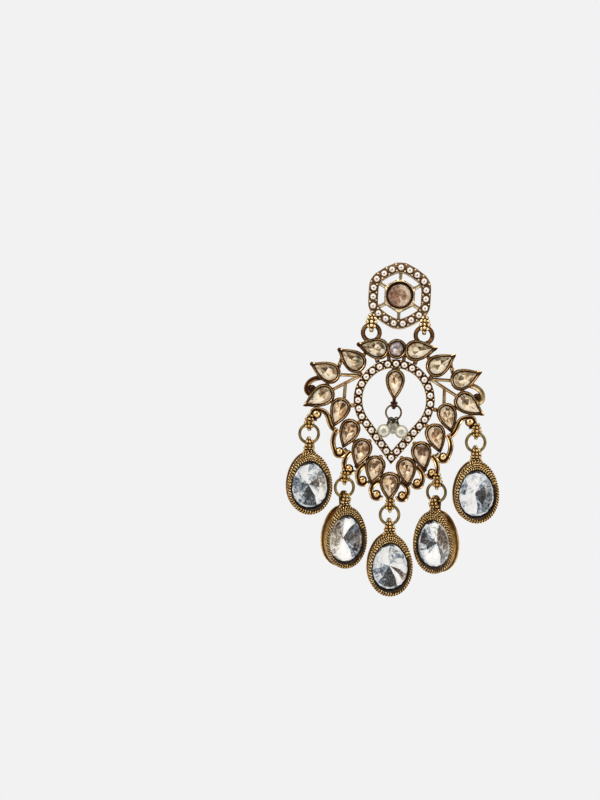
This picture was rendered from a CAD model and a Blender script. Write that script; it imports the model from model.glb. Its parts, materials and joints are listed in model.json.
import json
import random
from math import atan2, cos, pi, radians, sin, sqrt, tan

import bmesh
import bpy
from mathutils import Matrix, Vector, noise


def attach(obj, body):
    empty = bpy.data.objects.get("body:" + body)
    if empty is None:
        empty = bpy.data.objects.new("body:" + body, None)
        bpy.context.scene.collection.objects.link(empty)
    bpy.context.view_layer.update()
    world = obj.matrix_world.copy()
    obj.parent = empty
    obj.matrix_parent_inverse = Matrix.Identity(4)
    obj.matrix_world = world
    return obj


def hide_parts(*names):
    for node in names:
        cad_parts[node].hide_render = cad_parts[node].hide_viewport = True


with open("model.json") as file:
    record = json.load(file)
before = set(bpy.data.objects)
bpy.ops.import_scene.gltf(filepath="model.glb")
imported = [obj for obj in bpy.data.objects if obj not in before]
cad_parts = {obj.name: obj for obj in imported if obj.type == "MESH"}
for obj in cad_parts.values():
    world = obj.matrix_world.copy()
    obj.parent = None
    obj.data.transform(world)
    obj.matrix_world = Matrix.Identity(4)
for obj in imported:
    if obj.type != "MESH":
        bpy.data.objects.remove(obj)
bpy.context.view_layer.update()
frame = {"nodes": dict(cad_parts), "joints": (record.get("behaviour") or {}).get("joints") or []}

random.seed(11)
print("packed earring loaded")

# Everything below is worked out in millimetres: x across, y up, h out of the front
mm = 0.001
plateDrop = 23.3  # ear post down to the middle of the pearl teardrop
axisOut = 0.9  # the hanging axes stand this far out of the back of the plate
shifted = Matrix.Translation
faceOn = Matrix(((1, 0, 0, 0), (0, 0, -1, -0.5), (0, 1, 0, 0), (0, 0, 0, 1)))
onPlate = shifted((0, 0, -plateDrop)) @ faceOn
facing = (Vector((1, 0, 0)), Vector((0, 1, 0)))  # a hoop seen round from the front
edgeOn = (Vector((0, 1, 0)), Vector((0, 0, 1)))  # a hoop seen from its edge


def turned(degrees, axis):
    return Matrix.Rotation(radians(degrees), 4, axis)


def angles(count, turn=0.0):
    return [2 * pi * (k + turn) / count for k in range(count)]


def polar(r, angle, middle=(0, 0)):
    return (middle[0] + r * cos(angle), middle[1] + r * sin(angle))


def circleRing(r, count, middle=(0, 0), turn=0.0):
    return [polar(r, angle, middle) for angle in angles(count, turn)]


def straight(start, end, steps):
    return [tuple(Vector(start).lerp(Vector(end), k / steps)) for k in range(steps + 1)]


def mirrored(half, middle=()):
    # the rows once more in reverse, with their first number turned round
    return [*half, *middle, *[(-row[0], *row[1:]) for row in reversed(half)]]


def softBoxSection(halfOut, halfWide, corner):
    # a rectangle with rounded corners, for bails bent from flat strip
    rows = []
    for quarter in range(4):
        middle = ((halfOut - corner) * (1 if quarter in (0, 3) else -1),
                  (halfWide - corner) * (1 if quarter < 2 else -1))
        rows += [polar(corner, pi / 2 * (quarter + k / 3), middle) for k in range(4)]
    return rows


def newShell():
    return {"points": [], "faces": [], "dark": [], "skin": [], "tone": [], "warm": []}


def addFaces(shell, faces, skin, tone=0.5, warm=0.0):
    shell["faces"] += faces
    for key, value in (("skin", skin), ("tone", tone), ("warm", warm)):
        shell[key] += [value] * len(faces)


def addGrid(shell, rings, dark, caps="", joined=False, skin=0):
    # rings of points, skinned one to the next; dark is how deep the patina lies on each
    first, wide = len(shell["points"]), len(rings[0])
    for ring, level in zip(rings, dark):
        shell["points"] += [tuple(p) for p in ring]
        shell["dark"] += level if isinstance(level, list) else [level] * wide
    faces = []
    for a in range(len(rings) if joined else len(rings) - 1):
        here, there = first + a * wide, first + (a + 1) % len(rings) * wide
        for b in range(wide):
            c = (b + 1) % wide
            faces.append((here + b, here + c, there + c, there + b))
    if "start" in caps:
        faces.append(tuple(range(first + wide - 1, first - 1, -1)))
    if "end" in caps:
        last = first + (len(rings) - 1) * wide
        faces.append(tuple(range(last, last + wide)))
    addFaces(shell, faces, skin)


def addFacets(shell, lower, upper, tones, warms):
    # flat facets between two rings, each with its own points and its own tone
    for i in range(len(lower)):
        j = (i + 1) % len(lower)
        corners = [lower[i], lower[j], upper[j], upper[i]]
        kept = [p for k, p in enumerate(corners)
                if (Vector(p) - Vector(corners[k - 1])).length > 1e-4]
        first = len(shell["points"])
        shell["points"] += kept
        shell["dark"] += [0.0] * len(kept)
        addFaces(shell, [tuple(range(first, first + len(kept)))], 1, tones[i], warms[i])


def outlineLoft(shell, ringAt, profile, caps="", joined=False, tipDark=0.0):
    # profile rows: growth of the outline, height, patina; tipDark is added at a leaf's tip
    rings = [[(x, y, h) for x, y in ringAt(grow)] for grow, h, _ in profile]
    atTip = [tipDark * max(0.0, cos(angle)) ** 8 for angle in angles(len(rings[0]))]
    addGrid(shell, rings, [[dark + a for a in atTip] for _, _, dark in profile], caps, joined)


def sweepPath(shell, path, section, wide=1.0):
    # section rows: sideways, height, patina, and it closes along the back
    rings = []
    last = len(path) - 1
    for i, (x, y) in enumerate(path):
        way = (Vector(path[min(i + 1, last)]) - Vector(path[max(i - 1, 0)])).normalized()
        rings.append([(x + way.y * s * wide, y - way.x * s * wide, h) for s, h, _ in section])
    addGrid(shell, rings, [[dark for _, _, dark in section]] * len(path), "start end")


def addBall(shell, centre, r, rows, wide, low, high=0.0, flat=1.0, skin=0):
    # patina goes from high on the crown of a granule to low where it is soldered on
    rings, levels = [], []
    for i in range(rows + 1):
        tilt = pi * i / rows
        h = centre[2] + r * flat * cos(tilt)
        rings.append([(x, y, h) for x, y in circleRing(r * max(sin(tilt), 0.004), wide, centre)])
        levels.append(high + (low - high) * max(0.0, min(1.0, (i / rows - 0.18) / 0.42)))
    addGrid(shell, rings, levels, "start end", skin=skin)


def addHoop(shell, centre, plane, majorR, section, steps, dark, seamAt=None, flare=0.0, skin=0):
    # a ring through two directions; section rows: outward, along the ring's own axis
    u, v = plane
    rings, levels = [], []
    for angle in angles(steps):
        outward = u * cos(angle) + v * sin(angle)
        along = u.cross(v) * (1 + flare * cos(angle))
        rings.append([Vector(centre) + outward * (majorR + a) + along * b for a, b in section])
        atSeam = seamAt is not None and abs((angle - seamAt + pi) % (2 * pi) - pi) < 0.06
        levels.append(1.0 if atSeam else dark)
    addGrid(shell, rings, levels, joined=True, skin=skin)


def addObject(name, data):
    made = bpy.data.objects.new(name, data)
    bpy.context.scene.collection.objects.link(made)
    return made


sharpEdge = 38  # degrees, what bends more than this stays crisp


def makePiece(name, node, shell, place, body, materials, smooth=True):
    mesh = bpy.data.meshes.new(name)
    mesh.from_pydata([place @ Vector(p) * mm for p in shell["points"]], [], shell["faces"])
    mesh.attributes.new("patina", "FLOAT", "POINT").data.foreach_set("value", shell["dark"])
    for key in ("tone", "warm"):
        mesh.attributes.new(key, "FLOAT", "FACE").data.foreach_set("value", shell[key])
    mesh.polygons.foreach_set("material_index", shell["skin"])
    for material in materials:
        mesh.materials.append(material)
    if smooth:
        soft = bmesh.new()
        soft.from_mesh(mesh)
        bmesh.ops.recalc_face_normals(soft, faces=soft.faces)
        soft.to_mesh(mesh)
        soft.free()
        mesh.shade_smooth()
        mesh.set_sharp_from_angle(angle=radians(sharpEdge))
    mesh.update()
    piece = addObject(name, mesh)
    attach(piece, body)
    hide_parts(node)


def linearColour(hexText):
    # sRGB hex to the linear numbers that Blender works in
    channels = [int(hexText[k:k + 2], 16) / 255 for k in (1, 3, 5)]
    linear = [c / 12.92 if c <= 0.04045 else ((c + 0.055) / 1.055) ** 2.4 for c in channels]
    return (*linear, 1.0)


def addNode(tree, kind, values=None):
    # a lower-case key is a setting of the node's own, any other names one of its sockets,
    # which takes a number, a hex colour, a socket, or a node for its first output
    node = tree.nodes.new("ShaderNode" + kind)
    for key, value in (values or {}).items():
        if isinstance(key, str) and key[0].islower():
            setattr(node, key, value)
        elif isinstance(value, bpy.types.Node):
            tree.links.new(value.outputs[0], node.inputs[key])
        elif isinstance(value, bpy.types.NodeSocket):
            tree.links.new(value, node.inputs[key])
        else:
            value = linearColour(value) if isinstance(value, str) else value
            node.inputs[key].default_value = value
    return node


def addRamp(tree, source, stops):
    ramp = addNode(tree, "ValToRGB", {"Fac": source})
    points = ramp.color_ramp.elements
    while len(points) < len(stops):
        points.new(0.5)
    for point, (place, colour) in zip(points, stops):
        point.position = place
        point.color = linearColour(colour) if isinstance(colour, str) else (*[colour] * 3, 1)
    return ramp


def perMetre(sizeInMm):
    # a texture's scale from the real size of its features
    return 1 / (sizeInMm * mm)


def addNoise(tree, where, size, more=None):
    return addNode(tree, "TexNoise", {"Vector": where, "Scale": perMetre(size), **(more or {})})


def addMath(tree, operation, *values, clamp=False):
    return addNode(tree, "Math", {
        "operation": operation, "use_clamp": clamp, **dict(enumerate(values))})


def newMaterial(name):
    material = bpy.data.materials.new(name)
    material.use_nodes = True
    tree = material.node_tree
    tree.nodes.clear()
    return material, tree, addNode(tree, "TexCoord").outputs["Object"]


def withSurface(material, shader):
    addNode(material.node_tree, "OutputMaterial", {"Surface": shader})
    return material


def spread(tree, source, depth):
    # a noise of 0 to 1, spread evenly about nothing
    return addMath(tree, "MULTIPLY_ADD", source, depth, -0.5 * depth)


def antiqueGold(name, look):
    # cast brass, gold plated, then dipped dark and rubbed back: bright crowns, brown hollows
    material, tree, where = newMaterial(name)
    clouds = addNoise(tree, where, look["cloudSize"], {"Detail": 3.0, "Roughness": 0.6})
    grain = addNoise(tree, where, look["grainSize"], {"Detail": 2.0})
    laid = addNode(tree, "Attribute", {"attribute_name": "patina"}).outputs["Fac"]
    reached = addNode(tree, "AmbientOcclusion", {
        "samples": 8, "Distance": look["hollowReach"] * mm}).outputs["AO"]
    hollow = addMath(tree, "SUBTRACT", 1.0, reached)
    inHollow = addMath(tree, "MULTIPLY", hollow, look["hollowDark"])
    dark = addMath(tree, "MULTIPLY_ADD", laid, look["laidDark"], inHollow)
    total = addMath(tree, "ADD", dark, spread(tree, clouds, look["cloudDark"]), clamp=True)
    rough = addNode(tree, "MapRange", {
        "Value": total, "To Min": look["roughness"][0], "To Max": look["roughness"][1]})
    metal = addNode(tree, "MapRange", {
        "Value": total, "From Min": 0.55, "From Max": 1.0, "To Min": 1.0, "To Max": 0.45})
    bump = addNode(tree, "Bump", {
        "Strength": look["grainDepth"], "Distance": 0.02 * mm, "Height": grain})
    return withSurface(material, addNode(tree, "BsdfPrincipled", {
        "Base Color": addRamp(tree, total, look["colours"]),
        "Roughness": rough, "Metallic": metal, "Normal": bump}))


goldLook = {
    "cloudSize": 1.4,  # mm, uneven rubbing
    "grainSize": 0.16,  # mm, sand of the casting
    "grainDepth": 0.35,
    "hollowReach": 0.45,  # mm, how far in the dip stayed dark
    "hollowDark": 0.8,
    "laidDark": 0.88,
    "cloudDark": 0.45,
    "roughness": (0.16, 0.42),
    "colours": [  # from rubbed bright to the dark dip
        (0.0, "#ffedba"), (0.15, "#c0935a"), (0.34, "#664122"), (0.6, "#2a160a"),
        (1.0, "#0a0402")],
}
castGold = antiqueGold("antiqueCastGold", goldLook)
bandGold = antiqueGold("antiqueTaupeGold", dict(
    goldLook, hollowDark=0.45, hollowReach=0.3,
    colours=[(0.0, "#f3e0b8"), (0.2, "#a98b69"), (0.42, "#6f5340"), (0.72, "#3d281b"),
             (1.0, "#140b06")]))
dropGold = antiqueGold("antiqueOliveGold", dict(
    goldLook, grainDepth=0.5, cloudSize=0.8, cloudDark=0.65, hollowReach=0.3, hollowDark=0.7,
    laidDark=0.85,
    colours=[(0.0, "#ffeec0"), (0.2, "#c59b57"), (0.45, "#7c5b2b"), (0.75, "#422a11"),
             (1.0, "#100702")]))
wireGold = antiqueGold("antiqueGoldWire", dict(
    goldLook, grainDepth=0.15, grainSize=0.3, cloudSize=1.0, laidDark=0.9,
    colours=[(0.0, "#efe3b2"), (0.22, "#8b743f"), (0.5, "#45351b"), (1.0, "#150c05")]))


def pearlLustre(name, swirlSize, colours):
    # imitation pearl: glass bead under nacre lacquer, soft white with a clear skin
    material, tree, where = newMaterial(name)
    swirl = addNoise(tree, where, swirlSize, {"Detail": 2.0})
    rim = addNode(tree, "LayerWeight", {"Blend": 0.45}).outputs["Facing"]
    shade = addNode(tree, "Mix", {
        "data_type": "RGBA", "blend_type": "MULTIPLY", 0: 0.35, 6: addRamp(tree, rim, colours),
        7: addRamp(tree, swirl, [(0.3, "#e9ddd2"), (0.7, "#ffffff")])}).outputs[2]
    return withSurface(material, addNode(tree, "BsdfPrincipled", {
        "Base Color": shade, "Roughness": 0.32, "IOR": 1.53, "Coat Weight": 1.0,
        "Coat Roughness": 0.06, "Coat IOR": 1.55, "Subsurface Weight": 0.15,
        "Subsurface Scale": 0.4 * mm}))


# colours from the middle of a pearl out to its rim
seedPearl = pearlLustre("pearlSmall", 0.8, [
    (0.0, "#6a6878"), (0.03, "#93919e"), (0.075, "#fcf9f5"), (0.33, "#efe4dc"),
    (0.58, "#ae9686"), (1.0, "#634a3a")])
creamPearl = pearlLustre("pearlCream", 1.6, [
    (0.0, "#9c9d93"), (0.05, "#aeb0a6"), (0.13, "#deded6"), (0.3, "#c6c9bc"),
    (0.52, "#a0a490"), (0.8, "#7c806a"), (1.0, "#5c604d")])


def foiledFacets(name, look):
    # painted foil behind cut glass: every facet throws back its own tone, and some a warm one
    material, tree, where = newMaterial(name)
    facet, warm = [addNode(tree, "Attribute", {"attribute_name": key}).outputs["Fac"]
                   for key in ("tone", "warm")]
    cloud = addNoise(tree, where, look["cloudSize"], {"Detail": 4.0, "Distortion": look["streak"]})
    level = addMath(tree, "ADD", facet, spread(tree, cloud, look["cloudDepth"]), clamp=True)
    colour = addNode(tree, "Mix", {
        "data_type": "RGBA", 0: warm, 6: addRamp(tree, level, look["colours"]),
        7: addRamp(tree, level, look["warmColours"])}).outputs[2]
    return withSurface(material, addNode(tree, "BsdfPrincipled", {
        "Base Color": colour, "Roughness": look["roughness"],
        "Emission Color": colour, "Emission Strength": look["thrownBack"]}))


def cutGlass(name, tint, roughness):
    # polished lead glass over foil: clear body, and a hard bright reflection from each facet
    material, tree, where = newMaterial(name)
    polish = addNoise(tree, where, 2.0, {"Detail": 1.0})
    bump = addNode(tree, "Bump", {"Strength": 0.12, "Distance": 0.02 * mm, "Height": polish})
    edge = addNode(tree, "Fresnel", {"IOR": 1.6, "Normal": bump})
    body = addNode(tree, "BsdfTransparent", {"Color": tint})
    shine = addNode(tree, "BsdfGlossy", {"Roughness": roughness, "Normal": bump})
    return withSurface(material, addNode(tree, "MixShader", {0: edge, 1: body, 2: shine}))


foilLook = {
    "cloudSize": 1.0,  # mm, blurred images of the next facets
    "cloudDepth": 1.1,
    "streak": 1.0,
    "roughness": 0.25,
    "thrownBack": 0.3,
}
champagneFoil = foiledFacets("champagneFoil", dict(
    foilLook,
    colours=[(0.0, "#3a3325"), (0.27, "#7b735d"), (0.5, "#c4bda5"), (0.68, "#f7f4e6"),
             (0.82, "#ffffff")],
    warmColours=[(0.0, "#4a301f"), (0.27, "#8d6b4c"), (0.5, "#cfad84"), (0.7, "#f5e5ca"),
                 (0.85, "#fffaf0")]))
rosyFoil = foiledFacets("rosyFoil", dict(
    foilLook,
    colours=[(0.0, "#5a4238"), (0.35, "#9a8070"), (0.6, "#cab29e"), (0.85, "#efe3ce"),
             (1.0, "#fffaf0")],
    warmColours=[(0.0, "#4f3228"), (0.35, "#916d5f"), (0.6, "#bf9c8b"), (0.85, "#f1dfcc"),
                 (1.0, "#fffaf0")]))
greyFoil = foiledFacets("lilacGreyFoil", dict(
    foilLook,
    colours=[(0.0, "#2a2226"), (0.38, "#6d6266"), (0.65, "#a89da1"), (0.9, "#f6f1f3")],
    warmColours=[(0.0, "#32241f"), (0.38, "#765e55"), (0.65, "#b49c90"), (0.9, "#f8f0e8")]))
silverFoil = foiledFacets("silverFoil", dict(
    foilLook, cloudDepth=1.5, streak=1.2, roughness=0.15, thrownBack=0.42,
    colours=[(0.0, "#08060a"), (0.22, "#2b2e38"), (0.47, "#82909e"), (0.7, "#d3d8dc"),
             (0.88, "#ffffff")],
    warmColours=[(0.0, "#140d0c"), (0.2, "#42332b"), (0.45, "#8b8072"), (0.7, "#d7d0c2"),
                 (0.9, "#fffdf8")]))
champagneGlass = cutGlass("champagneCutGlass", "#fbf3e8", 0.03)
clearGlass = cutGlass("clearCutGlass", "#ffffff", 0.02)


def steelPost(name):
    # polished surgical steel, turned: fine rings round the post
    material, tree, where = newMaterial(name)
    rings = addNode(tree, "TexWave", {
        "bands_direction": "Y", "Vector": where, "Scale": perMetre(1.2),
        "Distortion": 0.4}).outputs["Fac"]
    rough = addNode(tree, "MapRange", {"Value": rings, "To Min": 0.18, "To Max": 0.3})
    bump = addNode(tree, "Bump", {"Strength": 0.1, "Distance": 0.01 * mm, "Height": rings})
    return withSurface(material, addNode(tree, "BsdfPrincipled", {
        "Base Color": "#d9d4c8", "Metallic": 1.0, "Roughness": rough, "Normal": bump}))


postSteel = steelPost("turnedSteel")
print("materials made")


tipGrowth = 1.55  # a grown pear reaches this much further at its tip
pearWidest = 0.7698  # the most that sin(t) * sin(t / 2) comes to


def pearFrame(stone):
    # the middle of a pear outline, half its length, and the ways along and across it
    x, y, tipX, tipY, r, _ = stone
    axis = Vector((tipX - x, tipY - y))
    half = (axis.length + r) / 2
    axis.normalize()
    return Vector((x, y)) + axis * (half - r), half, axis, Vector((-axis.y, axis.x))


def pearRing(stone, grow, count=72):
    middle, half, axis, side = pearFrame(stone)
    r, curl = stone[4:]
    tipBy = grow * tipGrowth
    ring = []
    for t in angles(count):
        u = (half + (grow + tipBy) / 2) * cos(t) + (tipBy - grow) / 2
        v = (r + grow) / pearWidest * sin(t) * sin(t / 2) + curl * ((1 + cos(t)) / 2) ** 3
        ring.append(tuple(middle + axis * u + side * v))
    return ring


foilTiers = [  # share of the outline, turn and depth, the innermost last
    (0.97, 0.5, -0.02), (0.9, 0.0, 0.1), (0.58, 0.35, 0.45), (0.004, 0.0, 1.0),
]


def cutStone(name, node, place, body, ringAt, cut, tones, warms):
    # clear crown over a foiled cone; ringAt(share, turn) is the outline scaled about the middle
    shell = newShell()
    count, table, girdleH = cut["sides"], cut["table"], cut["girdle"]
    rows = [
        (table, 0.0, girdleH + cut["crown"]),
        ((1 + table) / 2 + 0.06, 0.5, girdleH + cut["crown"] * 0.62),
        (1.0, 0.0, girdleH), (1.0, 0.0, girdleH - 0.2),
    ]
    for share, turn, h in rows:
        shell["points"] += [(x, y, h) for x, y in ringAt(share, turn)]
    shell["points"].append((*ringAt(0.0, 0.0)[0], girdleH - cut["depth"]))
    shell["dark"] += [0.0] * len(shell["points"])
    star, edge, under, culet = count, 2 * count, 3 * count, 4 * count
    faces = [tuple(range(count))]
    for i in range(count):
        j = (i + 1) % count
        faces += [
            (i, star + i, j), (star + i, edge + i, edge + j), (star + i, edge + j, star + j),
            (j, star + i, star + j), (edge + i, under + i, under + j, edge + j),
            (under + i, culet, under + j),
        ]
    addFaces(shell, faces, 0)
    # foil: tiers of wedges that meet under the table
    foilTop = girdleH - 0.06
    rings = [[(x, y, foilTop - cut["foil"] * sunk) for x, y in ringAt(share, turn)]
             for share, turn, sunk in foilTiers]
    for k, tier in enumerate(tones):
        addFacets(shell, rings[k], rings[k + 1], tier, warms)
    makePiece(name, node, shell, place, body, cut["skins"], smooth=False)


def facetTones(count, brightWay, spread, base=0.54, swing=0.24):
    # facets on the far side from the light throw more of it back
    return [max(0.0, min(1.0, base + swing * cos(angle - brightWay)
                         + random.uniform(-spread, spread))) for angle in angles(count, 0.5)]


# Right-hand stones: round end x, y, tip x, y, radius, curl of the tip
petals = [
    (4.1, 11.2, 7.95, 11.4, 1.75, 0.5),
    (9.1, 8, 12.5, 9.7, 1.8, 0.6),
    (14.65, 5.25, 18.3, 6.2, 1.75, 0.7),
    (15.7, 0.4, 18.9, -2.1, 1.75, 0.5),
]
scallops = [
    (11.85, -2.3, 12.95, -5.75, 1.6, 0),
    (9.5, -7, 10.6, -10.4, 1.65, 0),
    (6.6, -11.15, 7.5, -14.6, 1.65, 0),
    (3.45, -14.85, 4, -18.2, 1.65, 0),
]
footStone = (0, -18.4, 0, -21.7, 1.7, 0)
centreStone = (0, 4.75, 0, 0.85, 1.5, 0)
pearCut = {  # mm, but for the table, a share, and the sides
    "girdle": 1.85, "crown": 0.65, "depth": 1.15, "foil": 0.95, "table": 0.5, "sides": 20,
    "skins": [champagneGlass, champagneFoil], "slot": "champagne_stone"}
topStone = dict(pearCut, at=(0, 11.4), r=1.6, crown=0.6, depth=1.2, table=0.55, sides=12,
                skins=[clearGlass, greyFoil])
studStone = dict(topStone, at=(0, 0), r=2.7, girdle=2.0, foil=1.0,
                 skins=[champagneGlass, rosyFoil])
warmShares = {"petal": (0.0, 0.0, 0.35, 0.7), "scallop": (0.3, 0.7, 1.0, 1.0)}


def onSide(stone, side):
    x, y, tipX, tipY, r, curl = stone
    return (x * side, y, tipX * side, tipY, r, curl * side)


def pearStone(name, stone, warmth):
    middle = pearFrame(stone)[0]
    count = pearCut["sides"]
    full = [Vector(p) for p in pearRing(stone, 0.0, count * 20)]

    def ringAt(share, turn):
        return [tuple(middle.lerp(full[int((i + turn) * 20) % len(full)], share))
                for i in range(count)]

    brightWay = radians(-115) - atan2(stone[3] - stone[1], stone[2] - stone[0])
    outer = facetTones(count // 2, brightWay, 0.4)
    inner = facetTones(count // 2, brightWay + 0.6, 0.44)
    rim = facetTones(count // 2, brightWay, 0.3, 0.5, 0.15)
    tones = [[tier[k // 2] for k in range(count)] for tier in (rim, outer, inner)]
    warms = [random.choice(warmth) for _ in range(count)]
    cutStone(name, name, onPlate, "plate", ringAt, pearCut, tones, warms)


def roundStone(name, place, body, stone, tones, warms):
    def ringAt(share, turn):
        return circleRing(stone["r"] * share, stone["sides"], stone["at"], turn)

    cutStone(name, name, place, body, ringAt, stone, tones, warms)


for kind, stones in (("petal", petals), ("scallop", scallops)):
    for i, stone in enumerate(stones):
        for sideName, side in (("right", 1), ("left", -1)):
            pearStone(f"{kind}_stone_{sideName}_{i + 1}", onSide(stone, side), warmShares[kind])
pearStone("foot_stone", footStone, warmShares["scallop"])
pearStone("centre_stone", centreStone, warmShares["scallop"])
topTones = [facetTones(topStone["sides"], radians(200 + 20 * k), 0.3) for k in range(3)]
topWarms = [0.5, 0.0, 0.0, 0.0, 0.0, 0.0, 0.2, 0.7, 1.0, 1.0, 1.0, 0.8]
roundStone("top_stone", onPlate, "plate", topStone, topTones, topWarms)
studTones = [  # from the rim inwards, each from the right and round by the top
    [0.3, 0.35, 0.3, 0.2, 0.3, 0.4, 0.3, 0.45, 0.35, 0.5, 0.4, 0.3],
    [0.95, 1.0, 0.9, 0.55, 0.35, 0.3, 0.45, 0.35, 0.5, 0.8, 0.85, 0.8],
    [0.45, 0.5, 0.35, 0.45, 0.3, 0.45, 0.35, 0.5, 0.6, 0.95, 0.5, 0.4],
]
studWarms = [0.0, 0.0, 0.1, 0.3, 0.6, 0.9, 1.0, 1.0, 0.8, 0.4, 0.3, 0.1]
roundStone("stud_stone", faceOn, "stud", studStone, studTones, studWarms)
print("stones cut")


pearlLineR = 8.1  # mm, the round part of the teardrop, on the middle of its pearls
apexHalf = radians(38.9)
pearlR = 0.72  # mm, every pearl of the two bands
platePearls = {"count": 30, "prong": 0.24, "prongReach": 0.66}


def teardropRing(r):
    ring = [polar(r, -apexHalf + (pi + 2 * apexHalf) * k / 110) for k in range(111)]
    foot = (0, -r / sin(apexHalf))
    return ring + straight(ring[-1], foot, 14)[1:] + straight(foot, ring[0], 14)[1:-1]


def pearlLine(s):
    # a place on the pearl line, so far from its top, and the way to its outside
    arcLength = pearlLineR * (pi / 2 + apexHalf)
    if s < arcLength:
        outside = Vector(polar(1, pi / 2 - s / pearlLineR))
        return outside * pearlLineR, outside
    outside = Vector(polar(1, -apexHalf))
    down = Vector((-sin(apexHalf), -cos(apexHalf)))
    return outside * pearlLineR + down * (s - arcLength), outside


# Sections and outlines of the plate: their last number is the patina that lies there
colletProfile = [  # growth of the outline, height
    (0.52, 0.0, 0.45), (0.6, 0.2, 0.6), (0.62, 0.9, 0.75), (0.68, 1.3, 0.4), (0.66, 1.48, 0.05),
    (0.59, 1.57, 0.05), (0.51, 1.63, 0.6), (0.45, 1.74, 0.75), (0.39, 1.88, 0.3),
    (0.31, 1.96, 0.05), (0.23, 1.93, 0.3), (0.15, 1.84, 0.6), (0.09, 1.7, 0.7),
    (0.08, 1.2, 0.8),
]
bandProfile = mirrored([
    (0.95, 0.0, 0.45), (0.98, 1.0, 0.7), (0.98, 1.3, 0.45), (0.94, 1.42, 0.1), (0.88, 1.44, 0.1),
    (0.8, 1.36, 0.45), (0.5, 1.24, 0.25)], [(0.0, 1.2, 0.3)])
stripSection = mirrored([  # sideways, height: a groove between two beads
    (-0.52, 0.0, 0.6), (-0.58, 0.9, 0.75), (-0.57, 1.1, 0.5), (-0.51, 1.26, 0.2),
    (-0.41, 1.34, 0.0), (-0.29, 1.29, 0.25), (-0.12, 1.18, 0.65)])
barSection = mirrored([  # of a bar 0.8 mm wide
    (-0.4, 0.0, 0.8), (-0.43, 0.9, 0.9), (-0.36, 1.12, 0.55), (-0.18, 1.22, 0.1)])
smoothSection = [(a * 1.4, h + 0.08, 0.5 * dark) for a, h, dark in barSection]
scrolls = [  # start, two pulls, ball, turn radius, first and last angle
    ((16.2, 4.1), (17.6, 4.2), (19.75, 3.4), (18.5, 1.5), 1.2, 0, -120),
    ((12.3, -7.2), (13.5, -8.8), (13.4, -10.6), (11.6, -12.1), 1, 0, -165),
    ((9.1, -12), (10.3, -13.2), (10.7, -14.4), (9.25, -15.8), 1, 0, -165),
    ((5.7, -14.6), (7.1, -15.6), (7.6, -16.9), (6.1, -18.2), 1, 0, -165),
    ((2.3, -18.2), (3.9, -18.8), (4.5, -20.2), (2.85, -21.2), 1, 0, -165),
    ((12.4, -7.6), (15.2, -6.6), (13.6, -3.2), (17.15, -4.05), 1.05, 118, -95),
]
bars = [  # start, end, width in mm
    ((7.7, 5.1), (13, 5), 0.7), ((7.9, 5.1), (14.4, 1.3), 0.7), ((11.1, 3.2), (11.2, -0.8), 0.7),
    ((12.7, 6.6), (12.3, 8.9), 0.6), ((8.7, 6.7), (7.6, 5), 0.9), ((4.6, 9.5), (4.1, 8.2), 0.9),
    ((1.75, 10.1), (1.65, 8.6), 0.8), ((10.7, -11.5), (9.9, -12.3), 0.9),
    ((7.9, -15.6), (6.9, -14.7), 0.9), ((4.7, -18.7), (3.6, -17.9), 0.9),
    ((11.2, -5.7), (10.9, -6.3), 0.9),
]
links = [
    (4.3, 8.9), (7.25, 9.75), (12.55, 7.5), (15.1, 2.8), (13.7, -1.1), (9.3, -1.7),
    (7.55, -5.4), (8.55, -9.6), (5.05, -9.5), (5.4, -13.3), (2.35, -12.85), (1.95, -16.75),
]
loops = {"at": (5.9, 14.76), "r": 1.86, "wire": 0.5}

# Eyes: mm, but for flare, a share, and rubbed, the patina left on the crowns. The granules
# lie across and away from the hole, in steps of "granule"
granules = [(-1.5, 2.5), (1.5, 2.5), (-1.8, 0.8), (0, 0.9), (1.8, 0.8), (-1.3, -1), (1.3, -1),
            (0, -2.5)]
plateEye = {
    "r": 1.45, "hole": 0.65, "wide": 1.0, "flare": 0.25, "granule": 0.46, "ball": 0.37,
    "rubbed": 0.2, "reach": 1.9, "more": [(-0.9, 4.1), (0.9, 4.1), (0, 2.6), (0, -0.7)]}
studEye = dict(plateEye, r=1.75, hole=0.82, wide=1.1, granule=0.5, ball=0.42, rubbed=0.05,
               reach=2.3, more=[(-0.9, 4.0), (0.9, 4.0), (0, 2.6), (0, -0.7)])
dropEye = dict(plateEye, hole=0.7, wide=1.15, flare=0.5, granule=0.44, ball=0.36, rubbed=0.12,
               reach=3.0, more=[
    (0, 2.5), (0, -0.8), (-2.2, 2.3), (2.2, 2.3), (-0.9, 4.0), (0.9, 4.0), (-2.3, 4.1),
    (2.3, 4.1), (0, 4.9), (-1.6, 5.0), (1.6, 5.0), (-2.9, 5.1), (2.9, 5.1)])


def addEye(shell, at, eye, up=1, skin=0):
    # a bail bent from flat strip, narrow at its free end, with a knot of granules on its front
    x, y, h = at
    wall = (eye["r"] - eye["hole"]) / 2
    addHoop(shell, at, edgeOn, eye["hole"] + wall, softBoxSection(wall, eye["wide"] / 2, 0.16),
            48, 0.6, flare=eye["flare"] * up, skin=skin)
    half = eye["wide"] / 2 * (1 + eye["flare"])
    tongue = mirrored([(-half, -0.7), (-half, 0.3), (0.14 - half, 0.5)], [(0, 0.6)])
    rings = [[(x + a, y + up * away, h + b) for a, b in tongue]
             for away in (0.8, eye["reach"] * 0.6, eye["reach"])]
    addGrid(shell, rings, [0.9] * 3, "start end", skin=skin)
    for across, away in granules + eye["more"]:
        rise = eye["r"] * (1 if across == 0 else 0.86)  # lower to the sides and up the tongue
        rise -= (0.45 if abs(away) > 2 else 0) + (0.35 if away > 3 else 0)
        middle = (x + across * eye["granule"], y + up * away * eye["granule"], h + rise)
        addBall(shell, middle, eye["ball"] * random.uniform(0.88, 1.1), 10, 14, 1.2,
                eye["rubbed"], skin=skin)


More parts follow.
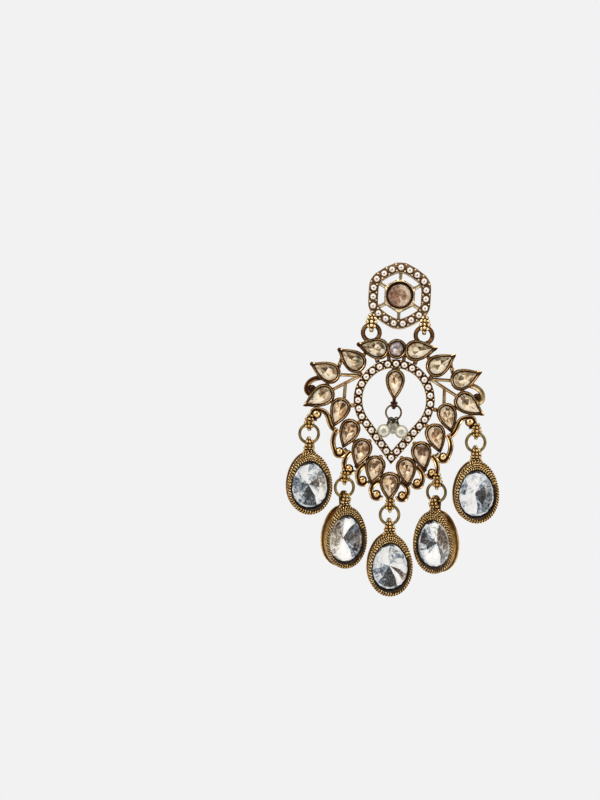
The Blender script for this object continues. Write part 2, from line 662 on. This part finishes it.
def crownPatina(sides, crown, flank, narrow):
    # bright along the front of a wire, dark down its flanks
    return [flank - (flank - crown) * max(0.0, sin(angle)) ** narrow for angle in angles(sides)]


def scrollPath(start, pullA, pullB, ball, r, first, last):
    # a curve up to the turn, then round the ball
    ends = (start, pullA, pullB, polar(r, radians(first), ball))
    path = []
    for k in range(31):
        t, u = k / 30, 1 - k / 30
        shares = (u ** 3, 3 * u * u * t, 3 * u * t * t, t ** 3)
        path.append(tuple(sum(s * p[axis] for s, p in zip(shares, ends)) for axis in (0, 1)))
    return path + [polar(r, radians(first + (last - first) * k / 26), ball) for k in range(1, 27)]


hornPath = [  # along the leaf, to its outer side, half width: the point past the stone
    (0.1, -0.02, 0.66), (0.38, 0.0, 0.6), (0.64, 0.04, 0.5), (0.86, 0.08, 0.37),
    (1.02, 0.13, 0.23), (1.13, 0.18, 0.11), (1.18, 0.21, 0.03),
]
hornSection = mirrored([  # share of the half width, share of the height, rounding
    (-1, 0, 0), (-1, 0.7, 0), (-0.85, 1, 0.42), (-0.45, 1, 0.12)], [(0, 1, 0)])
hornPatina = [0.8, 0.7, 0.7, 0.75, 0.5, 0.15, 0.0, 0.1, 0.5]


def leafHorn(shell, stone, sideSign, blunt):
    middle, half, axis, side = pearFrame(stone)
    tip = middle + axis * half + side * stone[5]
    last = len(hornPath) - 1
    rings = []
    for k, (u, v, w) in enumerate(hornPath[:3] if blunt else hornPath):
        way = Vector(hornPath[min(k + 1, last)][:2]) - Vector(hornPath[max(k - 1, 0)][:2])
        way.normalize()
        across = side * way.x * sideSign - axis * way.y
        p = tip + axis * u + side * v * sideSign
        top = 1.95 - 0.35 * k / last
        rings.append([(p.x + across.x * w * s, p.y + across.y * w * s, top * lift - rounding * w)
                      for s, lift, rounding in hornSection])
    if blunt:
        addBall(shell, (p.x, p.y, 1.4), 0.5, 10, 14, 1.0, 0.6)
    addGrid(shell, rings, [hornPatina] * len(rings), "start end")


plate = newShell()
outlineLoft(plate, lambda grow: teardropRing(pearlLineR + grow), bandProfile, joined=True)
for side in (1, -1):
    for stone in petals + scallops:
        outlineLoft(plate, lambda grow: pearRing(onSide(stone, side), grow), colletProfile,
                    "start", tipDark=0.6)
    for scroll in scrolls:
        outer = scroll is scrolls[0]
        section = stripSection
        if outer and side > 0:  # the outer right scroll is plain and rubbed bright
            section = smoothSection
        elif outer:  # and the left one stayed dark
            section = [(a, h, 0.3 + 0.6 * dark) for a, h, dark in stripSection]
        sweepPath(plate, [(x * side, y) for x, y in scrollPath(*scroll)], section)
        x, y = scroll[3]
        ballR = 1.1 if scroll is scrolls[5] else 0.95  # the hook ends in the biggest ball
        addBall(plate, (x * side, y, 0.75), ballR, 16, 24, 1.0, 0.7 if outer else 0.1)
    for start, end, wide in bars:
        run = [(x * side, y) for x, y in straight(start, end, 8)]
        sweepPath(plate, run, barSection, wide / 0.8)
    for x, y in links:
        addBall(plate, (x * side, y, 1.15), 0.5, 12, 16, 1.0, 0.2)
    for stone in petals:
        leafHorn(plate, onSide(stone, side), side, side < 0 and stone is not petals[3])
    addHoop(plate, (loops["at"][0] * side, loops["at"][1], axisOut), facing, loops["r"],
            circleRing(loops["wire"], 20), 80, crownPatina(20, 0.2, 1.0, 3.5))
for stone in (footStone, centreStone):
    outlineLoft(plate, lambda grow: pearRing(stone, grow), colletProfile, "start", tipDark=0.5)
outlineLoft(plate, lambda grow: circleRing(topStone["r"] + grow, 48, topStone["at"]),
            colletProfile, "start")
for high, low, wide in ((7.3, 6.1, 1.6), (1.3, -0.3, 0.7)):  # above and below the centre stone
    sweepPath(plate, straight((0, high), (0, low), 8), stripSection, wide)

lineLength = 2 * (pearlLineR * (pi / 2 + apexHalf) + pearlLineR / tan(apexHalf))
pearlStep = lineLength / platePearls["count"]
halfCount = platePearls["count"] // 2
platePearlsAt = []
for i in range(halfCount + 1):
    at, _ = pearlLine(i * pearlStep)
    platePearlsAt.append((at.x, at.y))
    if 0 < i < halfCount:
        platePearlsAt.append((-at.x, at.y))
for i in range(halfCount):  # a little prong to each side of every gap between pearls
    at, outside = pearlLine((i + 0.5) * pearlStep)
    for reach in (platePearls["prongReach"], -platePearls["prongReach"]):
        p = at + outside * reach
        for side in (1, -1):
            addBall(plate, (p.x * side, p.y, 1.45), platePearls["prong"], 8, 12, 0.6)

hinges = {joint["name"]: joint for joint in frame["joints"]}
for i in range(5):
    hanging = Vector(hinges[f"drop_{i + 1}_swing"]["pos_m"]) / mm
    addEye(plate, (hanging.x, hanging.z + plateDrop, axisOut), plateEye, skin=1)
smallRing = {"r": 1.7, "wire": 0.21, "at": (0, -2.8)}
holdY = smallRing["at"][1] + smallRing["r"]
addHoop(plate, (0, holdY, axisOut), edgeOn, 0.725, softBoxSection(0.275, 0.35, 0.1), 32, 0.8)
for x, y, h, r in ((-0.5, 0.45, 0.75, 0.34), (0.5, 0.45, 0.75, 0.34), (0, -0.05, 0.95, 0.3),
                   (-0.42, -0.35, 0.8, 0.26), (0.42, -0.35, 0.8, 0.26)):
    addBall(plate, (x, holdY + y, axisOut + h), r, 8, 12, 1.1, 0.45)
makePiece("plateCasting", "plate_frame", plate, onPlate, "plate", [castGold, dropGold])
print("plate cast")


studSize = {
    "across": 13.7,  # mm, between the flats
    "band": 2.1,  # mm, width of the pearl band
    "bow": 0.045,  # share, how far the sides swell beyond the flats
    "bezelWall": 0.68,  # mm, from the stone to the flats of its setting
    "pearls": 19,
    "prong": 0.26,
}
outerHalf = studSize["across"] / 2
innerHalf = outerHalf - studSize["band"]
bezelHalf = studStone["r"] + studSize["bezelWall"]


def offFlat(angle):
    # how far an angle lies from the middle of the nearest side of a hexagon
    return (angle + pi / 6) % (pi / 3) - pi / 6


def cutHexagon(halfFlats, cornerCut, angle):
    # reach of a hexagon whose corners are cut to an arc
    return min(halfFlats / cos(offFlat(angle)), halfFlats * cornerCut)


def swell(angle):
    return 1 + studSize["bow"] * (1 - abs(offFlat(angle)) * 6 / pi) * (0.3 + 0.7 * abs(sin(angle)))


def hexagonRing(halfFlats, cornerR):
    # a hexagon with round corners and bowed sides
    reach = (halfFlats - cornerR) / cos(pi / 6)
    ring = []
    for i in range(6):
        corner = radians(30 + 60 * i)
        ring += [polar(cornerR, corner + radians(5 * j), polar(reach, corner))
                 for j in range(-6, 7)]
    full = []
    for k, start in enumerate(ring):
        steps = 6 if k % 13 == 12 else 1  # a flat is cut finer, so that it can bow
        for x, y in straight(start, ring[(k + 1) % len(ring)], steps)[:-1]:
            bowed = swell(atan2(y, x))
            full.append((x * bowed, y * bowed))
    return full


bandRows = mirrored([  # growth of its edge, height, patina: seven rows outside, eight inside
    (0.0, 0.0, 0.45), (0.02, 1.0, 0.7), (0.02, 1.35, 0.4), (-0.04, 1.48, 0.1), (-0.12, 1.5, 0.15),
    (-0.24, 1.38, 0.45), (-0.6, 1.26, 0.25)], [(0.9, 1.24, 0.3)])
bandEdges = [(outerHalf, 3.4)] * 7 + [(innerHalf, 2.2)] * 8  # half width, corner radius
stud = newShell()
addGrid(stud, [[(x, y, h) for x, y in hexagonRing(half + by, cornerR + by)]
               for (half, cornerR), (by, h, _) in zip(bandEdges, bandRows)],
        [row[2] for row in bandRows], joined=True)
bezelOutside = [  # growth, height, patina
    (0, 0, 0.45), (0, 1.6, 0.6), (0, 2.05, 0.05), (-0.08, 2.18, 0.0)]
bezelInside = [  # radius, height, patina: over the lip and down to the stone
    (3.27, 2.3, 0.1), (3.23, 2.42, 0.0), (3.17, 2.46, 0.0), (3.1, 2.4, 0.2), (2.98, 2.28, 0.7),
    (2.88, 2.15, 0.85), (2.82, 2.02, 0.95), (2.79, 1.85, 1.0), (2.78, 1.5, 1.1)]
bezelRings = [[(*polar(cutHexagon(bezelHalf + by, 1.13, angle), angle), h) for angle in angles(96)]
              for by, h, _ in bezelOutside]
bezelRings += [[(x, y, h) for x, y in circleRing(r, 96)] for r, h, _ in bezelInside]
addGrid(stud, bezelRings, [row[2] for row in bezelOutside + bezelInside], "start")
spokeSection = mirrored([
    (-0.38, 0.0, 0.6), (-0.38, 0.95, 0.4), (-0.3, 1.15, 0.1), (-0.12, 1.22, 0.0)])
for k in range(6):
    angle = radians(30 + 60 * k)
    run = straight(polar(bezelHalf - 0.3, angle), polar(innerHalf * 1.12, angle), 6)
    sweepPath(stud, run, spokeSection)


def studLine(turn):
    # reach of the middle of the pearl band, and the angle, so far round from its top
    angle = pi / 2 + 2 * pi * turn / studSize["pearls"]
    return cutHexagon((outerHalf + innerHalf) / 2, 1.085, angle) * swell(angle), angle


studPearlsAt = []
for i in range(studSize["pearls"]):
    studPearlsAt.append(polar(*studLine(i)))
    r, angle = studLine(i + 0.5)
    for reach in (0.72, -0.7):
        addBall(stud, (*polar(r + reach, angle), 1.5), studSize["prong"], 8, 12, 0.6)
for side in (1, -1):
    hangs = (loops["at"][0] * side, loops["at"][1] + loops["r"] - plateDrop, axisOut)
    addEye(stud, hangs, studEye, skin=1)
makePiece("studCasting", "stud_frame", stud, faceOn, "stud", [bandGold, dropGold])
print("stud cast")


def addPearl(shell, centre, r, rows=20, wide=28):
    # a little out of round, as lacquered beads are
    drift = Vector([random.uniform(0, 9) for _ in range(3)])
    rings = []
    for i in range(rows + 1):
        tilt = pi * i / rows
        ring = []
        for x, y in circleRing(sin(tilt), wide):
            way = Vector((x, y, cos(tilt)))
            size = r * (0.985 + 0.015 * noise.noise(way * 1.1 + drift))
            ring.append(Vector(centre) + way * size)
        rings.append(ring)
    for pole, beside in ((0, 1), (-1, -2)):
        rings[pole] = [rings[pole][0].lerp(p, 0.02) for p in rings[beside]]
    addGrid(shell, rings, [0.0] * (rows + 1), "start end")


for name, node, at, h, place, body in (
        ("studPearls", "stud_pearls", studPearlsAt, 1.55, faceOn, "stud"),
        ("platePearls", "plate_pearls", platePearlsAt, 1.45, onPlate, "plate")):
    pearls = newShell()
    for x, y in at:
        addPearl(pearls, (x, y, h), pearlR)
    makePiece(name, node, pearls, place, body, [seedPearl])

cluster = [  # pearl's x, y, h, and where its pin hangs on the small ring, degrees
    (-1.95, -6.95, 2.4, -114), (0, -6.2, -0.5, -90), (1.95, -6.95, 2.4, -66)]
pinSize = {"pearlR": 1.5, "loopR": 0.52, "wire": 0.15, "wrapR": 0.2, "wrapWire": 0.11}
for i, (x, y, h, turn) in enumerate(cluster):
    bead = newShell()
    addPearl(bead, (x, y, h), pinSize["pearlR"], 32, 44)
    makePiece(f"clusterPearl{i + 1}", f"cluster_pearl_{i + 1}", bead, onPlate, "plate",
              [creamPearl])
    top = Vector((*polar(smallRing["r"], radians(turn), smallRing["at"]), axisOut))
    way = Vector((x, y, h)) - top
    length = way.length + pinSize["pearlR"]
    way.normalize()
    across = way.orthogonal().normalized()
    upright = way.cross(across)
    pin = newShell()
    addHoop(pin, top, (way, across), pinSize["loopR"], circleRing(pinSize["wire"], 12), 36, 0.7)
    stem = [top + way * (0.5 + (length - 0.5) * k / 8) for k in range(9)]
    addGrid(pin, [[p + across * a + upright * b for a, b in circleRing(pinSize["wire"], 12)]
                  for p in stem], [0.3] * 9, "start end")
    for k in range(3):  # the wire is wrapped under its loop
        addHoop(pin, top + way * (0.66 + 0.22 * k), (across, upright), pinSize["wrapR"],
                circleRing(pinSize["wrapWire"], 8), 20, 0.4)
    addBall(pin, top + way * (length + 0.1), 0.32, 10, 16, 0.2, 0.2)
    addBall(pin, top + way * (length - 2 * pinSize["pearlR"] - 0.02), 0.36, 8, 16, 0.5, 0.3, 0.6)
    makePiece(f"clusterPin{i + 1}", f"cluster_pin_{i + 1}", pin, onPlate, "plate", [wireGold])

ring = newShell()
addHoop(ring, (*smallRing["at"], axisOut), facing, smallRing["r"],
        circleRing(smallRing["wire"], 14), 72, crownPatina(14, 0.3, 1.0, 1.2), seamAt=0.4)
makePiece("centreRing", "centre_ring", ring, onPlate, "plate", [wireGold])
print("pearls set")


dropSize = {
    "reach": 8.9,  # mm, from the eye down to the middle of the setting
    "lean": -3.5,  # degrees, the drops hang a little out of plumb
    "ringR": 2.1,
    "ringWire": 0.33,
    "bead": 0.27,
}
drops = [  # turn of the jump ring, turn of the drop
    (6, 15), (16, 30), (4, 10), (-18, -32), (2, 8),
]
crystal = {  # mm, but for the table, a share, and the sides
    "w": 8.1, "h": 10.3, "low": 0.4, "girdle": 1.0, "crown": 0.75, "depth": 1.5, "foil": 1.4,
    "table": 0.5, "sides": 16, "skins": [clearGlass, silverFoil], "slot": "clear_crystal"}
crystalTones = [  # outer wedges, inner wedges and their warm shares, from the right, over the top
    ([0.45, 0.55, 0.7, 0.6, 0.95, 1.0, 0.55, 0.4, 0.5, 0.8, 0.45, 0.3, 0.25, 0.95, 0.9, 0.6],
     [0.25, 0.6, 0.7, 0.75, 0.95, 1.0, 0.6, 0.3, 0.4, 0.6, 0.25, 0.1, 0.08, 1.0, 0.5, 0.2],
     [0.9, 0.5, 0, 0, 0, 0, 0, 0, 0, 0, 0, 0, 0.2, 0, 0.3, 0.9]),
    ([0.3, 0.35, 0.95, 0.9, 0.5, 0.3, 0.5, 0.62, 0.58, 0.7, 0.95, 1.0, 1.0, 0.55, 0.3, 0.3],
     [0.15, 0.2, 0.95, 0.95, 0.6, 0.4, 0.6, 0.55, 0.65, 0.72, 0.9, 1.0, 1.0, 0.4, 0.2, 0.15],
     [0.4, 0, 0, 0, 0.6, 1, 1, 1, 1, 1, 0.6, 0, 0, 0, 0.3, 0.6]),
    ([0.75, 0.5, 0.65, 0.6, 0.95, 0.95, 0.85, 0.8, 0.5, 0.75, 0.35, 0.15, 0.2, 1.0, 0.35, 0.95],
     [0.8, 0.55, 0.6, 0.7, 1.0, 0.9, 0.85, 0.6, 0.35, 0.45, 0.15, 0.05, 0.08, 1.0, 0.2, 0.85],
     [0.3, 0, 0.3, 0.2, 0, 0.2, 0, 0, 0, 0, 0, 0.3, 0.3, 0, 1, 0.3]),
    ([0.35, 0.3, 0.35, 0.75, 0.85, 0.6, 0.25, 0.15, 0.5, 0.85, 1.0, 1.0, 0.9, 0.45, 0.55, 0.5],
     [0.3, 0.25, 0.3, 0.7, 0.9, 0.7, 0.3, 0.1, 0.15, 0.6, 0.95, 1.0, 0.85, 0.4, 0.45, 0.4],
     [1, 1, 1, 0.4, 0.2, 0, 0, 0.2, 0.2, 0, 0, 0, 0, 0.5, 0.6, 1]),
    ([0.45, 0.6, 0.8, 0.9, 0.8, 1.0, 0.6, 0.5, 0.9, 0.7, 1.0, 0.95, 0.4, 0.3, 0.3, 0.35],
     [0.2, 0.5, 0.85, 0.95, 1.0, 0.95, 0.9, 0.8, 1.0, 1.0, 1.0, 1.0, 0.4, 0.15, 0.1, 0.15],
     [0.3, 0, 0, 0, 0, 0, 0, 0, 0, 0, 0, 0, 0, 0, 0.3, 0.3]),
]
settingWall = [  # width, z, patina: from the back up to the edge
    (9.0, -1.8, 0.5), (9.7, -1.79, 0.3), (9.96, -1.7, 0.1), (10.0, -1.55, 0.1), (10.0, -1.25, 0.2),
    (9.85, -1.12, 0.5), (9.48, -1.05, 0.9), (9.4, -0.9, 0.6), (9.4, 0.0, 0.3), (9.4, 0.72, 0.6),
    (9.5, 0.86, 0.9), (9.85, 0.92, 0.4), (9.98, 1.02, 0.15), (9.98, 1.3, 0.4), (9.8, 1.42, 0.9),
]
settingProfile = [(w, w + 3.9, 0, z, dark) for w, z, dark in settingWall]
settingProfile += [  # width, height, lowering, z, patina: over the slope, down round the stone
    (9.1, 12.95, 0, 1.45, 0.95), (8.98, 12.6, 0.03, 1.52, 0.8), (8.82, 12.1, 0.06, 1.5, 0.8),
    (8.66, 11.6, 0.12, 1.36, 0.85), (8.52, 11.1, 0.2, 1.16, 0.95), (8.44, 10.8, 0.3, 1.04, 0.85),
    (8.38, 10.6, 0.38, 1.02, 0.8), (8.3, 10.52, 0.4, 0.98, 0.9), (8.2, 10.4, 0.4, 0.7, 1.0),
    (8.18, 10.38, 0.4, -0.95, 1.0),
]
milledEdge = {"w": 9.48, "h": 13.38, "z": 1.52, "r": 0.31, "pitch": 0.6}
beadRows = [  # width, height, lowering, z, beads all round, lowest share of the height with beads
    (8.9, 12.45, 0.03, 1.52, 56, -1.0), (8.7, 11.7, 0.12, 1.42, 52, -0.1),
    (8.52, 10.98, 0.24, 1.2, 50, 0.3),
]


def eggRing(w, h, low=0.0, count=120, turn=0.0):
    # a lowered egg outline, wider below
    return [(w / 2 * cos(t) * (1 - 0.1 * sin(t)), h / 2 * sin(t) - low)
            for t in angles(count, turn)]


def addRope(shell, edge):
    # two strands twisted together: the milled edge of the setting
    path = [Vector((x, y, edge["z"])) for x, y in eggRing(edge["w"], edge["h"], count=240)]
    legs = [(path[(k + 1) % len(path)] - p).length for k, p in enumerate(path)]
    total = sum(legs)
    lobes = round(total / edge["pitch"])
    steps = lobes * 7
    rings, levels = [], []
    leg, done = 0, 0.0
    for i in range(steps):
        s = total * i / steps
        while done + legs[leg] < s:
            done += legs[leg]
            leg += 1
        start, end = path[leg], path[(leg + 1) % len(path)]
        p = start.lerp(end, (s - done) / legs[leg])
        way = (end - start).normalized()
        side, up = Vector((way.y, -way.x, 0)), Vector((0, 0, 1))
        ring, level = [], []
        for angle in angles(12):
            lobe = 0.5 + 0.5 * cos(2 * (angle - pi * lobes * i / steps))
            x, y = polar(edge["r"] * (0.42 + 0.62 * sqrt(lobe)), angle)
            ring.append(p + side * x + up * y)
            level.append(1.15 * (1 - lobe) ** 0.75)
        rings.append(ring)
        levels.append(level)
    addGrid(shell, rings, levels, joined=True)


def crystalRing(share, turn):
    return eggRing(crystal["w"] * share, crystal["h"] * share, crystal["low"], crystal["sides"],
                   turn)


for i, (ringTurn, dropTurn) in enumerate(drops):
    body = f"drop_{i + 1}"
    atHinge = shifted(Vector(hinges[f"{body}_swing"]["pos_m"]) / mm)
    place = (atHinge @ shifted((0, 0, -2 * dropSize["ringR"])) @ turned(dropTurn, "Z")
             @ turned(dropSize["lean"], "Y") @ turned(90, "X")
             @ shifted((0, -dropSize["reach"], 0)))
    setting = newShell()
    rings, levels = [], []
    for w, h, low, z, dark in settingProfile:  # the dip stayed darker at the foot of the front
        footDark = 0.4 if z > 0.6 else 0.0
        rings.append([(x, y, z) for x, y in eggRing(w, h, low)])
        levels.append([dark + footDark * max(0.0, -y / h) for x, y in eggRing(w, h)])
    addGrid(setting, rings, levels, "start end")
    addRope(setting, milledEdge)
    for w, h, low, z, count, least in beadRows:
        for x, y in eggRing(w, h, count=count):
            if y / (h / 2) >= least:
                size = dropSize["bead"] * random.uniform(0.75, 1.1)
                size *= 1 if y > 0 or least > -1 else 0.8
                addBall(setting, (x, y - low, z), size, 8, 11, 1.2,
                        0.7 if x > 0 and y < 0.15 * h else 0.1)
    addEye(setting, (0, dropSize["reach"], 0), dropEye, up=-1)
    makePiece(f"dropSetting{i + 1}", f"drop_setting_{i + 1}", setting, place, body, [dropGold])

    outer, inner, warms = crystalTones[i]
    rim = [0.12 if k in (3, 4) else 0.7 + 0.3 * tone + random.uniform(-0.4, 0.1)
           for k, tone in enumerate(outer)]
    cutStone(f"crystal{i + 1}", f"crystal_{i + 1}", place, body, crystalRing, crystal,
             (rim, outer, inner), warms)

    ringPlace = (atHinge @ turned(ringTurn, "Z") @ shifted((0, 0, -dropSize["ringR"]))
                 @ turned(90, "X"))
    wire = newShell()
    addHoop(wire, (0, 0, 0), facing, dropSize["ringR"], circleRing(dropSize["ringWire"], 16), 88,
            crownPatina(16, 0.22, 0.9, 1.4), seamAt=0.5 + i)
    makePiece(f"jumpRing{i + 1}", f"jump_ring_{i + 1}", wire, ringPlace, body, [wireGold])
print("drops hung")

post = frame["nodes"]["ear_post"]
post.data.materials.clear()
post.data.materials.append(postSteel)


stageLook = {"floorZ": -105, "wallY": 900, "bend": 350, "half": 2500, "colour": "#f2f2f2"}


def shownPlain(tree, lit, plain):
    # the eye sees the plain backdrop, everything else gets the lit one
    seen = addNode(tree, "LightPath").outputs["Is Camera Ray"]
    return addNode(tree, "MixShader", {0: seen, 1: lit, 2: plain})


def makeStage(look):
    # one pale sheet, floor and wall, with a wide bend between them
    bend = (look["wallY"] - look["bend"], look["floorZ"] + look["bend"])
    profile = [(-look["half"], look["floorZ"])]
    profile += [polar(look["bend"], pi / 2 * (k / 16 - 1), bend) for k in range(17)]
    profile.append((look["wallY"], look["half"]))
    mesh = bpy.data.meshes.new("stageSheet")
    mesh.from_pydata([(side * look["half"] * mm, y * mm, z * mm) for y, z in profile
                      for side in (-1, 1)], [],
                     [(2 * k, 2 * k + 1, 2 * k + 3, 2 * k + 2) for k in range(len(profile) - 1)])
    mesh.shade_smooth()
    # matt photo paper, faintly grained
    material, tree, where = newMaterial("palePaper")
    grain = addNoise(tree, where, 3.0)
    bump = addNode(tree, "Bump", {"Strength": 0.02, "Height": grain})
    paper = addNode(tree, "BsdfPrincipled", {
        "Base Color": look["colour"], "Roughness": 0.95, "Normal": bump})
    glow = addNode(tree, "Emission", {"Color": look["colour"], "Strength": 1.0})
    mesh.materials.append(withSurface(material, shownPlain(tree, paper, glow)))
    addObject("stageSheet", mesh)


makeStage(stageLook)

# The room: bright behind and above the earring, dim in front and below
world = bpy.data.worlds.new("paleRoom")
bpy.context.scene.world = world
world.use_nodes = True
tree = world.node_tree
tree.nodes.clear()
ways = addNode(tree, "SeparateXYZ", {0: addNode(tree, "TexCoord").outputs["Generated"]})
toFront = addMath(tree, "MULTIPLY", ways.outputs["Y"], -1.0)
frontDim = addRamp(tree, toFront, [(0.45, 0.8), (0.82, 0.34), (1.0, 0.22)])
upBright = addNode(tree, "MapRange", {
    "Value": ways.outputs["Z"], "From Min": -1.0, "From Max": 1.0, "To Min": 0.33, "To Max": 1.12})
both = addMath(tree, "MULTIPLY", frontDim, upBright)
room = addNode(tree, "Background", {"Color": "#fbf7f0", "Strength": both})
plain = addNode(tree, "Background", {"Color": stageLook["colour"], "Strength": 1.0})
addNode(tree, "OutputWorld", {"Surface": shownPlain(tree, room, plain)})

middle = Vector((0, 0, -0.03))
softBoxes = {  # metres and watts: place, width, height, power
    "softBoxLeft": ((-0.4, -0.35, 0.3), 0.3, 0.3, 1.5),
    "softBoxRight": ((0.45, -0.3, 0.12), 0.2, 0.35, 0.8),
    "softBoxTop": ((0.0, -0.12, 0.5), 0.5, 0.2, 1.2),
}
for name, (at, w, h, power) in softBoxes.items():
    lamp = bpy.data.lights.new(name, "AREA")
    lamp.shape = "RECTANGLE"
    lamp.size, lamp.size_y = w, h
    lamp.energy = power
    lamp.color = linearColour("#fff8ee")[:3]
    holder = addObject(name, lamp)
    holder.location = at
    holder.rotation_euler = (middle - Vector(at)).to_track_quat("-Z", "Y").to_euler()

camera = {
    "distance": 200,  # mm, in front of the pearls
    "roll": 3.0,  # degrees, the earring lies turned a little clockwise
    "pixelsPerMm": 4.44,
    "plateAtPixel": (394.2, 400),
    "image": (600, 800),
    "sensor": 36,
}
imageW, imageH = camera["image"]
lens = bpy.data.cameras.new("photoCamera")
lens.sensor_width = camera["sensor"]
lens.lens = camera["pixelsPerMm"] * camera["distance"] * camera["sensor"] / imageH
lens.shift_x = -(camera["plateAtPixel"][0] - imageW / 2) / imageH
lens.shift_y = (camera["plateAtPixel"][1] - imageH / 2) / imageH
lens.clip_start = 0.01
viewer = addObject("photoCamera", lens)
viewer.matrix_world = (shifted((0, -camera["distance"] * mm, -plateDrop * mm))
                       @ turned(90, "X") @ turned(camera["roll"], "Z"))
bpy.context.scene.camera = viewer
bpy.context.scene.view_settings.view_transform = "Standard"
print("stage, light and camera set")
